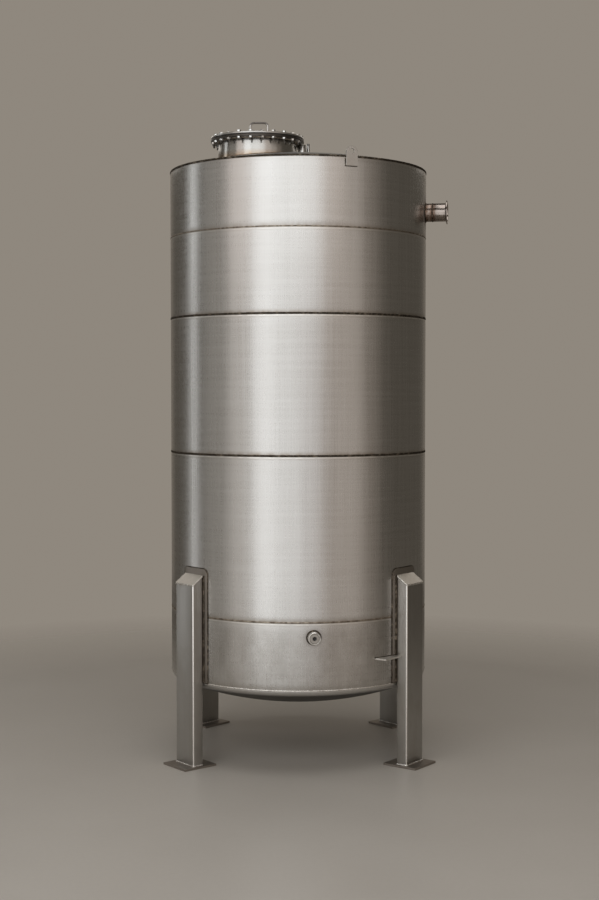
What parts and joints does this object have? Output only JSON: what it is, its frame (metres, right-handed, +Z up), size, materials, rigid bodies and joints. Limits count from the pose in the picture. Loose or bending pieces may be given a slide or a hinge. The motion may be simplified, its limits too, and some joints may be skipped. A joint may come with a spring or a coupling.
{
  "type": "stainless steel storage tank on legs",
  "caption": "Upright stainless steel storage tank: a round welded shell with dished ends, a bolted roof manhole, a side nozzle, sockets, lifting lugs and legs with foot plates.",
  "frame": {"origin": "on the floor, under the middle of the box that the tank fills; the shell's vertical axis stands at x = -38.2 mm, y = 13.7 mm", "axes": "+Z up, -Y towards the front with the plugged boss, +X towards the side nozzle"},
  "size_m": [1.0916, 1.0271, 2.4336],
  "materials": {
    "shell_sheet": "brushed stainless sheet with a vertical grain, semi-gloss",
    "pressed_ends": "mill-finish stainless plate, dull gloss",
    "pipe_steel": "drawn stainless tube, fine polish round the axis",
    "machined_steel": "turned stainless steel, bright",
    "leg_steel": "brushed stainless hollow section and plate, grain along the length",
    "gasket_rubber": "matt black sheet rubber"
  },
  "bodies": {
    "root": {"bottom_head": "pressed_ends", "shell_course_1": "shell_sheet", "shell_course_2": "shell_sheet", "shell_course_3": "shell_sheet", "shell_course_4": "shell_sheet", "shell_course_5": "shell_sheet", "roof_plate": "pressed_ends", "manhole_neck": "pipe_steel", "manhole_flange": "machined_steel", "manhole_gasket": "gasket_rubber", "manhole_lid": "machined_steel", "lid_handle": "machined_steel", "filler_socket": "machined_steel", "vent_pipe": "machined_steel", "nozzle_pipe": "pipe_steel", "nozzle_ferrule": "machined_steel", "drain_boss": "machined_steel", "drain_plug": "machined_steel", "lifting_lug_front": "leg_steel", "lifting_lug_back": "leg_steel", "leg_pad_front_left": "leg_steel", "leg_tube_front_left": "leg_steel", "leg_cap_front_left": "leg_steel", "foot_plate_front_left": "leg_steel", "leg_pad_front_right": "leg_steel", "leg_tube_front_right": "leg_steel", "leg_cap_front_right": "leg_steel", "foot_plate_front_right": "leg_steel", "leg_pad_back_right": "leg_steel", "leg_tube_back_right": "leg_steel", "leg_cap_back_right": "leg_steel", "foot_plate_back_right": "leg_steel", "leg_pad_back_left": "leg_steel", "leg_tube_back_left": "leg_steel", "leg_cap_back_left": "leg_steel", "foot_plate_back_left": "leg_steel", "earth_shelf": "leg_steel"}
  },
  "joints": []
}
